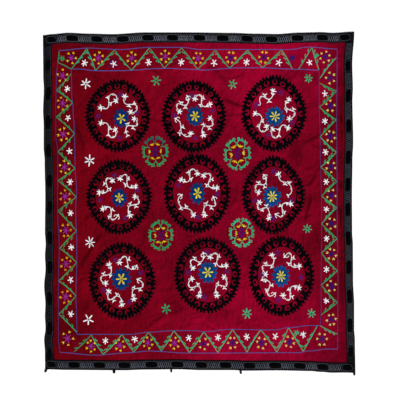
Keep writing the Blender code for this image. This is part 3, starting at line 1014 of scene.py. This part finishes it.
def sewStar(skeins, x, y, petals, length, width, thread, shade):
    # Petals round a small dark knot.
    centre = metres([x, y])
    angles = around(petals, draw.uniform(0, turn)) + draw.normal(0, 0.07, petals)
    sizes = length * mm * draw.uniform(0.90, 1.08, petals)
    sewPetals(skeins[thread], centre, angles, 4.5 * mm, sizes, width * mm, "blunt", 1.2 * mm,
              shade, stretch=1.08)
    sewKnots(skeins["black"], centre, 3.8 * mm, 1.2 * mm)


def sewField(skeins):
    # Rosettes and stars fill the spaces between the roundels.
    for row in rosetteRows:
        sewRosette(skeins, *row)
    for row in fieldStars:
        sewStar(skeins, *row)
    print("rosettes and stars are sewn")


# Vine border between two blue lines

outerLines = {     # top and bottom: x, y; left and right: y, x
    "top": ((-904, 989), (-717, 1004), (-511, 995), (-317, 1009), (-111, 1009), (5, 995),
            (586, 995), (702, 1011), (889, 998)),
    "bottom": ((-900, -958), (-672, -976), (-446, -960), (-330, -949), (-59, -963), (637, -960),
               (715, -948), (831, -936), (892, -938)),
    "left": ((989, -904), (907, -913), (830, -921), (604, -926), (443, -926), (346, -913),
             (-41, -914), (-299, -902), (-460, -908), (-879, -908), (-958, -900)),
    "right": ((998, 889), (500, 886), (0, 889), (-500, 893), (-938, 892)),
}
innerLines = {
    "top": ((-824, 869), (-769, 869), (-672, 858), (-511, 858), (-221, 874), (-14, 866), (5, 862),
            (263, 877), (405, 877), (650, 867), (774, 861)),
    "bottom": ((-789, -842), (-446, -842), (-330, -828), (-169, -818), (-14, -818), (25, -825),
               (205, -810), (489, -813), (573, -799), (715, -785), (779, -785)),
    "left": ((869, -824), (701, -823), (624, -814), (443, -804), (250, -801), (88, -791),
             (-41, -797), (-234, -790), (-395, -790), (-557, -795), (-842, -789)),
    "right": ((861, 774), (604, 774), (443, 779), (-41, 789), (-686, 786), (-785, 780)),
}
tents = {          # where the vine turns: foot on the inner line, top on the outer line, foot, ...
    "top": (-825, -725, -669, -547, -437, -321, -224, -114, -11, 104, 195, 312, 408, 531, 600),
    "right": (779, 728, 624, 542, 432, 333, 237, 143, 50, -25, -130, -226, -317, -433, -524,
              -638, -717),
    "bottom": (-698, -620, -498, -422, -328, -246, -165, -64, 28, 119, 215, 308, 397, 501, 575,
               671, 762),
    "left": (840, 731, 651, 559, 452, 335, 228, 150, 43, -47, -176, -288, -380, -497, -594, -711,
             -828),
}
footFlowers = {    # the petals at each foot: y yellow, o orange, p pale, m half pale, v violet alone
    "top": "yyyyymyv",
    "right": "ppppppppp",
    "bottom": "yyyypppp",
    "left": "yoyyoooo",
}
petalShades = {"y": 0.58, "o": 0.92, "p": 0.08, "m": 0.35}
starless = (("bottom", 2),)         # side and number of a tent
violetBacked = (("top", 1),)
vine = {
    "lineWidth": 5.4 * mm,
    "legThin": 5.2 * mm,
    "legWide": 7.6 * mm,
    "legScale": {"top": 1.08, "right": 1.15, "bottom": 1.15, "left": 1.0},
    "starScale": {"top": 1.0, "right": 0.88, "bottom": 0.93, "left": 0.9},
    "lineShade": {"top": 0.75, "right": 0.3, "bottom": 0.75, "left": 0.3},
    "lineScale": {"top": 1.0, "right": 0.82, "bottom": 1.0, "left": 0.86},
    "legShade": {"top": 0.66, "right": 0.52, "bottom": 0.74, "left": 0.38},
    "curlRadius": 8.8 * mm,
    "curlWidth": 6.8 * mm,
    "leafLength": 12 * mm,
    "leafWidth": 6.5 * mm,
    "leafAt": (0.20, 0.42, 0.67),   # shares from the top to the foot
    "starPetal": 20.5 * mm,
    "armLength": 22 * mm,           # of the violet star in a flower
    "petalLength": 16 * mm,
    "petalWidth": 7.8 * mm,
    "petalRing": (28.5 * mm, 34.5 * mm),   # where a flower's petals stand, across and along
    "starAt": 0.68,                 # from a tent's top to the middle of its feet
    "flowerAt": {"top": 0.57, "right": 0.63, "bottom": 0.57, "left": 0.60},   # outwards
    "flowerScale": {"top": 1.07, "right": 1.04, "bottom": 1.07, "left": 1.18},
    "flowerPull": 0.6,              # how far a flower moves to the middle between two tops
    # Some flowers stand off the middle of their place, in metres.
    "shifts": {("right", 0): 0.032, ("right", 8): -0.030, ("left", 0): -0.014},
    "violetShade": (0.15, 0.95),    # in the left half and the right half
    "tipGap": 0.012,                # share of a tent's height between its top and the line
    "legPoints": 25,
    "linePitch": 12 * mm,
    "rise": 0.9 * mm,
}


def alongLine(table, side, place):
    # A point on a border line, at the given x (or y on a side line).
    other = eased(table[side], np.asarray(place, float))
    if side in ("top", "bottom"):
        return np.stack([place, other], -1)
    return np.stack([other, place], -1)


def sewLines(skein):
    # The two blue lines on each side, which waver a little in place and in width.
    for table in (outerLines, innerLines):
        for side, rows in table.items():
            first, last = metres([rows[0][0], rows[-1][0]])
            count = int(abs(last - first) / vine["linePitch"])
            line = alongLine(table, side, np.linspace(first, last, count))
            line = line + draw.normal(0, 0.35 * mm, line.shape)
            width = vine["lineWidth"] * vine["lineScale"][side] * draw.uniform(0.8, 1.15, count)
            sewLine(skein, line[None], width, 0.8 * mm, vine["lineShade"][side])


def sewLeg(skein, top, foot, inside, shade, scale, leaves=vine["leafAt"]):
    # A vine stem from the tent's top to its foot, with leaves that curl to one side.
    share = np.linspace(0, 1, vine["legPoints"])
    step = foot - top
    length = np.hypot(*step)
    heading = bearing(step)
    across = towards(heading + np.pi / 2)
    side = np.sign((inside - top) @ across)
    bow = side * draw.uniform(-0.03, 0.03) * length
    line = top + share[:, None] * step + (np.sin(share * np.pi) * bow)[:, None] * across
    swell = (vine["legWide"] * scale - vine["legThin"]) * np.sin(share * np.pi) ** 2
    width = vine["legThin"] + swell
    sewLine(skein, line[None], width, vine["rise"], shade)
    for at in leaves + draw.normal(0, 0.02, len(leaves)):
        root = top + at * step + side * 2.0 * mm * across
        sewHook(skein, root, heading + side * draw.uniform(0.9, 1.3),
                vine["curlRadius"] * draw.uniform(0.8, 1.1), side * draw.uniform(2.2, 2.9),
                vine["curlWidth"] * scale, vine["rise"], shade)
        sewPetals(skein, root, [heading + side * 0.5], 0.0, vine["leafLength"] * scale,
                  vine["leafWidth"] * scale, "leaf", vine["rise"], shade)


def sewBorderStar(skein, centre, scale=0.9):
    # A white star of five or six blunt petals round a knot.
    count = draw.choice([5, 6, 6])
    angles = around(count, draw.uniform(0, turn)) + draw.normal(0, 0.1, count)
    sizes = vine["starPetal"] * scale * draw.uniform(0.9, 1.1, count)
    sewPetals(skein, centre, angles, 1.0 * mm, sizes, 8.0 * mm, "blunt", 1.1 * mm, 1.0,
              stretch=1.12)
    sewKnots(skein, centre, 3.6 * mm, 1.1 * mm, 1.0)


def sewBorderFlower(skeins, centre, kind, violet, scale):
    # A violet star of thin arms, and almond petals that stand apart round it.
    arms = 8 if kind == "v" else 6
    angles = around(arms, draw.uniform(0, turn))
    sewPetals(skeins["violet"], centre, angles, 1.0 * mm, vine["armLength"] * scale,
              (6.4 + 3.2 * violet) * mm, "thin", 0.9 * mm, violet, stretch=1.1)
    sewKnots(skeins["violet"], centre, 5.5 * mm, 1.0 * mm, violet)
    if kind == "v":
        return
    count = draw.choice([5, 6, 6])
    angles = around(count, draw.uniform(0, turn)) + draw.normal(0, 0.08, count)
    spots = centre + towards(angles) * (np.array(vine["petalRing"]) * scale)
    facing = angles + draw.normal(0, 0.35, count)
    roots = spots - towards(facing) * 9 * mm
    size = vine["petalLength"] * draw.uniform(0.85, 1.12, count)
    tint = np.clip(petalShades[kind] + draw.normal(0, 0.05, count), 0, 1)
    for lean in (-0.4, 0.4):      # each petal has two lobes
        sewPetals(skeins["yellow"], roots, facing + lean, 0.0, size, vine["petalWidth"], "almond",
                  1.0 * mm, tint)


def sewBorder(skeins):
    # On each side, two stems and a star for each tent, then a flower over each foot.
    sewLines(skeins["blueLine"])
    for side, turns in tents.items():
        places, peaks = metres(turns[::2]), metres(turns[1::2])
        feet, tops = alongLine(innerLines, side, places), alongLine(outerLines, side, peaks)
        for number, (top, before, after) in enumerate(zip(tops, feet, feet[1:])):
            shade = np.clip(vine["legShade"][side] + draw.normal(0, 0.06), 0.1, 1)
            top = top + (before + after - 2 * top) * vine["tipGap"]
            middle = (before + after) / 2
            for foot in (before, after):
                sewLeg(skeins["green"], top, foot, middle, shade, vine["legScale"][side])
            spot = top + (middle - top) * vine["starAt"]
            if (side, number) in violetBacked:
                sewPetals(skeins["violet"], spot, around(6, np.radians(30)), 8 * mm, 25 * mm,
                          10 * mm, "almond", 0.9 * mm, 0.8, stretch=1.2)
            if (side, number) not in starless:
                sewBorderStar(skeins["white"], spot, vine["starScale"][side])
        for number, (place, kind) in enumerate(zip(places, footFlowers[side])):
            if 0 < number < len(peaks):
                middle = (peaks[number - 1] + peaks[number]) / 2
                place = place + (middle - place) * vine["flowerPull"]
            place = place + vine["shifts"].get((side, number), 0)
            foot = alongLine(innerLines, side, place)
            across = alongLine(outerLines, side, place) - foot
            violet = vine["violetShade"][int(foot[0] >= 0)]
            sewBorderFlower(skeins, foot + across * vine["flowerAt"][side], kind, violet,
                            vine["flowerScale"][side])
    sewCorners(skeins)
    print("the vine border is sewn")


corners = {        # stems: from x, y to x, y, and a point on the side that the leaves curl to
    "bare": ((-904, 984, -912, 911, -860, 950), (-913, 911, -825, 868, -860, 950)),
    "stems": ((884, 942, 779, 811, 800, 920), (726, 1010, 640, 868, 640, 960),
              (726, 1010, 771, 864, 800, 950), (-806, -953, -698, -847, -780, -860),
              (890, -840, 779, -786, 800, -870)),
    "sprigFan": (20, 85, 150, 215, 285, 330),   # degrees
    # x, y, green shade, length of a leaf
    "sprigs": ((-884, 938, 0.2, 21), (627, -832, 0.75, 21), (758, 958, 0.75, 15.5)),
    "stars": ((712, 912),),
    # x, y, petals, violet shade, scale
    "flowers": ((811, 946, "p", 0.85, 1.1), (791, -873, "p", 0.85, 1.15),
                (-849, -868, "y", 0.1, 1.3)),
}


def sewCorners(skeins):
    # The corners have stems, sprigs and flowers of their own.
    for kind, leaves in (("bare", ()), ("stems", vine["leafAt"])):
        for row in corners[kind]:
            top, foot, inside = metres(row).reshape(3, 2)
            sewLeg(skeins["green"], top, foot, inside, np.clip(0.45 + 0.35 * top[0], 0, 1), 1.0,
                   np.array(leaves))
    fan = np.radians(corners["sprigFan"])
    for *spot, green, length in corners["sprigs"]:
        spot = metres(spot)
        sewPetals(skeins["green"], spot, fan + spot[0], 0.0, length * mm, 8 * mm, "leaf",
                  vine["rise"], green, bend=0.4)
    for spot in corners["stars"]:
        sewBorderStar(skeins["white"], metres(spot))
    for *spot, kind, violet, scale in corners["flowers"]:
        sewBorderFlower(skeins, metres(spot), kind, violet, scale)


# Black band, with padded ovals and grey stitching

ovals = {          # where the ovals are, along each band
    "top": (-940, -806, -647, -481, -319, -161, 12, 161, 319, 475, 643, 803, 947),
    "bottom": (-953, -807, -643, -482, -308, -141, 13, 170, 324, 490, 648, 797, 955),
    "left": (889, 707, 522, 341, 144, -25, -221, -411, -612, -804, -972),
    "right": (869, 682, 491, 293, 121, -37, -218, -401, -585, -769, -937),
}
band = {
    "ovalLength": {"top": 68 * mm, "bottom": 70 * mm, "left": 80 * mm, "right": 80 * mm},
    "ovalHeight": {"top": 36 * mm, "bottom": 36 * mm, "left": 32 * mm, "right": 34 * mm},
    "endShare": 0.8,                # the corner ovals are shorter
    "zone": {"top": (13 * mm, 52 * mm), "bottom": (13 * mm, 52 * mm),
             "left": (12 * mm, 45 * mm), "right": (12 * mm, 45 * mm)},   # in from the edge
    "lean": 0.22,
    "strokePitch": 12 * mm,
    "strokeWidth": {"top": 2.5 * mm, "bottom": 2.5 * mm, "left": 1.6 * mm, "right": 2.3 * mm},
    "strokeShade": {"top": 0.86, "bottom": 0.62, "left": 0.10, "right": 0.30},
    "outlineShade": {"top": 0.35, "bottom": 0.25, "left": 0.0, "right": 0.05},
    "outlineWidth": 1.8 * mm,
    "padding": 1.5 * mm,
    "cell": 9 * mm,
    "strips": 8,
    "pucker": 0.10 * mm,
    "ovalPower": 3.2,               # 2 is an ellipse, and more is squarer
    "ovalPoints": 33,
    "reaches": (1.0, 0.88, 0.55, 1.15),   # of a padded oval's three rings and the line round it
    "hatchGap": 3 * mm,             # between the hatch and an oval
    "linePoints": 150,
}


def onBand(side, along, depth):
    # A place on a band: along is x (or y on a side band), depth is in from the outer edge.
    if side in ("top", "bottom"):
        v = depth / clothLength
        return plan((along - lowLeft[0]) / clothWidth, v if side == "bottom" else 1 - v)
    u = depth / clothWidth
    return plan(u if side == "left" else 1 - u, (along - lowLeft[1]) / clothLength)


def makeBands(materials):
    # Each band is its own strip, laid on the cloth's margin; the ends run the full width.
    inset = cloth["edgingWidth"] + cloth["gap"]
    for side in ("bottom", "top", "left", "right"):
        onEnd = side in ("top", "bottom")
        width = cloth["bandEndWidth"] if onEnd else cloth["bandSideWidth"]
        depth = np.linspace(inset, width, band["strips"])
        start = lowLeft[0] + inset if onEnd else lowLeft[1] + cloth["bandEndWidth"] + cloth["gap"]
        end = (lowLeft[0] + clothWidth - inset if onEnd
               else lowLeft[1] + clothLength - cloth["bandEndWidth"] - cloth["gap"])
        along = np.linspace(start, end, int((end - start) / band["cell"]))
        if side in ("top", "right"):
            depth = depth[::-1]
        places = (onBand(side, along[:, None], depth[None, :]) if onEnd
                  else onBand(side, along[None, :], depth[:, None]))
        under = clothTop(places) + cloth["gap"]
        thickness = draw.normal(0, band["pucker"], under.shape) + cloth["bandThickness"]
        strip = closedSheet("suzani_band_" + side, places, under, thickness, materials[side])
        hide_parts("border_" + side)
    print("four bands are laid")


def sewBandPattern(skeins):
    # Padded ovals with a grey line round each, a hatch between them, and a line on both edges.
    # An oval is a circle, swollen towards an oblong by the powers of its cosine and sine, and it
    # leans.
    level = cloth["gap"] + cloth["bandThickness"]
    for side, row in ovals.items():
        places = metres(row)
        onEnd = side in ("top", "bottom")
        low, high = band["zone"][side]
        middle = (low + high) / 2
        halfLength = band["ovalLength"][side] / 2
        halfHeight = band["ovalHeight"][side] / 2
        angles = np.linspace(0, turn, band["ovalPoints"])
        lean = band["lean"] * (1 if side in ("top", "left") else -1)
        power = band["ovalPower"]
        swell = (np.abs(np.cos(angles)) ** power + np.abs(np.sin(angles)) ** power) ** (-1 / power)
        ringAlong = np.cos(angles) * swell * halfLength
        ringDepth = np.sin(angles) * swell * halfHeight
        for place in places:
            grow = draw.uniform(0.94, 1.06)
            if place in (places[0], places[-1]):
                grow = grow * band["endShare"]
            rings = []
            for reach in band["reaches"]:
                depth = middle + ringDepth * reach
                along = place + (ringAlong * grow + ringDepth * lean) * reach
                rings.append(onBand(side, along, depth))
            padOval(skeins["band"], rings[:3], level)
            sewLine(skeins["grey"], rings[3][None], band["outlineWidth"], 0.7 * mm,
                    band["outlineShade"][side], level)
        first = places[0]
        if not onEnd:      # the hatch starts at the end band's inner edge
            first = lowLeft[1] + clothLength - cloth["bandEndWidth"] - 4 * mm
            places = (first + halfLength, *places)
        sewHatch(skeins["grey"], side, places, low, high, halfLength, level)
        along = np.linspace(first, places[-1], band["linePoints"])
        for depth in (low - 2 * mm, high + 2 * mm):
            line = onBand(side, along, np.full(len(along), depth))
            sewLine(skeins["grey"], line[None], 2.0 * mm, 0.5 * mm, 0.2, level)


def padOval(skein, rings, level):
    # A padded satin oval: three rings of points, from its sunk rim up to its crown.
    flat = np.stack([ring[:-1] for ring in rings])[None]
    if np.cross(flat[0, 0, 1] - flat[0, 0, 0], flat[0, 0, 2] - flat[0, 0, 1]) < 0:
        flat = flat[:, :, ::-1]
    up = np.array([-stitch["sink"], 0.75 * band["padding"], band["padding"]]) + level
    keep(skein, raised(flat, up[:, None]), 0.3)


def sewHatch(skein, side, places, low, high, halfLength, level):
    # Two zigzags that cross, so that the space between the ovals fills with diamonds.
    ordered = sorted(places)
    for first, second in zip(ordered, ordered[1:]):
        start = first + halfLength + band["hatchGap"]
        end = second - halfLength - band["hatchGap"]
        count = max(4, int((end - start) / band["strokePitch"]))
        marks = np.linspace(start, end, count + 1)
        ups = np.stack([marks[:-1], marks[1:]], 1)
        along = np.concatenate([ups, ups[:, ::-1]])
        share = np.linspace(0, 1, 4)
        along = along[:, :1] + (along[:, 1:] - along[:, :1]) * share
        lines = onBand(side, along, np.broadcast_to(low + (high - low) * share, along.shape))
        shade = band["strokeShade"][side] * draw.uniform(0.6, 1.2, len(lines))
        sewLine(skein, lines, band["strokeWidth"][side], 0.6 * mm, shade, level)


# Edging and loops

loopRows = (       # name, x of the root, width, length, and sideways lean as a share of the length
    ("left_corner", -985, 16, 20, -0.5),
    ("left", -549, 18, 21, 0.0),
    ("middle_left", -180, 12, 20, 0.0),
    ("middle_right", 267, 14, 22, 0.1),
    ("right_corner", 1000, 13.5, 17.2, 0.0),
)
loop = {
    "points": 40,
    "tipPoints": 13,
    "sides": 12,
    "thin": 0.98,                   # share of the room that the cord fills
    "braid": 0.07,
    "braidStep": 2.1,               # radians from one point to the next
}
edging = {
    # share inwards, share of the height
    "section": ((0.0, 0.0), (0.0, 0.5), (0.10, 0.82), (0.32, 1.0), (0.68, 1.0), (0.90, 0.85),
                (1.0, 0.55), (1.0, 0.0)),
    "stations": 260,
    "ripple": 0.06,
    "rippleStep": 1.7,              # radians from one station to the next
}


def sweep(name, frames, material, slot):
    # A closed tube: frames holds its rings of points, station by station.
    stations, sides = frames.shape[:2]
    grid = np.arange(stations * sides).reshape(stations, sides)
    beside = np.roll(grid, -1, axis=1)
    quads = np.stack([grid[:-1], grid[1:], beside[1:], beside[:-1]], -1).reshape(-1, 4)
    faces = quads.tolist() + [grid[0].tolist(), grid[-1, ::-1].tolist()]
    return fillMesh(name, frames.reshape(-1, 3), faces, material)


def makeEdgings(material):
    # The edging's rounded section, carried anticlockwise round the cloth in four runs.
    endIn, sideIn = cloth["edgingWidth"] / clothLength, cloth["edgingWidth"] / clothWidth
    cut = (cloth["edgingWidth"] + cloth["gap"]) / clothLength
    full = np.linspace(0, 1, edging["stations"])
    between = np.linspace(cut, 1 - cut, edging["stations"])
    runs = (
        ("bottom", plan(full, 0), plan(full, endIn)),
        ("right", plan(1, between), plan(1 - sideIn, between)),
        ("top", plan(full, 1)[::-1], plan(full, 1 - endIn)[::-1]),
        ("left", plan(0, between)[::-1], plan(sideIn, between)[::-1]),
    )
    shares, rises = np.array(edging["section"]).T
    pieces = []
    for side, outer, inner in runs:
        flat = outer[:, None] + (inner - outer)[:, None] * shares[:, None]
        phase = np.arange(edging["stations"]) * edging["rippleStep"] + draw.uniform(0, turn)
        swell = np.minimum(1 + edging["ripple"] * np.sin(phase), 1.0)
        frames = raised(flat, cloth["edgingHeight"] * rises * swell[:, None])
        piece = sweep("suzani_edging_" + side, frames, material, "black_edging")
        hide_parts("edging_" + side)
        pieces.append(piece)
    return pieces


def makeLoops(material):
    # A flat braid doubled back on itself: down one leg, round the tip and up the other.
    pieces = []
    for name, *sizes, lean in loopRows:
        x, width, length = metres(sizes)
        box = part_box("loop_" + name)
        root, height = box[1].y, box[1].z
        half = width / 4
        shaft = length - width / 2
        bend = np.linspace(0, np.pi, loop["tipPoints"])
        side = np.concatenate([[half, half], half * np.cos(bend), [-half, -half]])
        down = np.concatenate([[0, shaft * 0.5], shaft + half * np.sin(bend), [shaft * 0.5, 0]])
        line = spaced(np.stack([x + side + lean * down, root - down], 1), loop["points"])
        way = np.gradient(line, axis=0)
        way /= np.linalg.norm(way, axis=1, keepdims=True)
        out = np.stack([way[:, 1], -way[:, 0]], 1)
        ring = around(loop["sides"], 0)
        braid = 1 + loop["braid"] * np.sin(np.arange(len(line)) * loop["braidStep"])
        reach = np.cos(ring)[:, None] * half * loop["thin"] * braid[:, None, None]
        flat = line[:, None] + out[:, None] * reach
        frames = raised(flat, height / 2 * (1 + np.sin(ring) * loop["thin"]))[:, ::-1]
        piece = sweep("suzani_loop_" + name, frames, material, "black_cord")
        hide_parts("loop_" + name)
        pieces.append(piece)
    print("edging and loops are made")
    return pieces


# Making it all

def main():
    makeStage()
    ground = makeGround()
    # The left band has a darker copy of the black twill.
    paler = blackCottonMaterial("black cotton twill", "#060609", "#1A1B1F", 3.0 * mm, 0.3 * mm, 0.85)
    deep = blackCottonMaterial("darker black cotton twill", "#030304", "#0B0C0E", 3.0 * mm,
                               0.3 * mm, 0.85)
    makeBands({"bottom": paler, "top": paler, "right": paler, "left": deep})
    edges = makeEdgings(blackCottonMaterial("black cotton tape", "#040405", "#121214", 2.5 * mm,
                                            0.4 * mm, 0.8))
    loops = makeLoops(blackCottonMaterial("black braided cotton cord", "#09090B", "#1E1E22",
                                          3.2 * mm, 0.7 * mm, 0.75))
    names = ("white", "black", "green", "blue", "blueLine", "yellow", "violet", "band", "grey")
    skeins = {name: newSkein() for name in names}
    sewRoundels(skeins)
    sewField(skeins)
    sewBorder(skeins)
    sewBandPattern(skeins)
    finishes = (
        # skein, piece, material, ramp of dyes, contrast, lustre, slot
        ("white", "white_stitching", "ivory embroidery silk",
         ((0.0, "#D6DEDC"), (0.5, "#DEE5E7"), (1.0, "#E4E6E8")), 0.12, 0.06, "white_thread"),
        ("black", "black_stitching", "black embroidery silk",
         ((0.0, "#020205"), (1.0, "#06060B")), 0.5, 0.012, "black_thread"),
        ("green", "green_stitching", "green embroidery silk",
         ((0.0, "#08605C"), (0.2, "#0A8A50"), (0.5, "#0E965E"), (1.0, "#28AE84")), 0.3, 0.05,
         "green_thread"),
        ("blue", "blue_stitching", "blue embroidery silk",
         ((0.0, "#001E62"), (0.3, "#003464"), (1.0, "#00488C")), 0.4, 0.03, "blue_thread"),
        ("blueLine", "border_lines", "blue grey couched silk",
         ((0.0, "#1E3072"), (1.0, "#3C4E96")), 0.5, 0.03, "blue_thread"),
        ("yellow", "yellow_stitching", "yellow embroidery silk",
         ((0.0, "#C8C068"), (0.3, "#CCBE3E"), (0.6, "#D0BA04"), (1.0, "#C88410")), 0.25, 0.05,
         "yellow_thread"),
        ("violet", "violet_stitching", "violet embroidery silk",
         ((0.0, "#9A3098"), (0.5, "#501868"), (1.0, "#240B5C")), 0.3, 0.04, "violet_thread"),
        ("band", "band_ovals", "black satin stitch",
         ((0.0, "#030304"), (1.0, "#060609")), 0.4, 0.01, "black_thread"),
        ("grey", "band_stitching", "grey cotton stitching",
         ((0.0, "#26282E"), (1.0, "#747A86")), 0.4, 0.03, "black_thread"),
    )
    sewn = [windSkein(piece, skeins[skein], silkMaterial(material, stops, contrast, lustre))
            for skein, piece, material, stops, contrast, lustre, slot in finishes]


main()
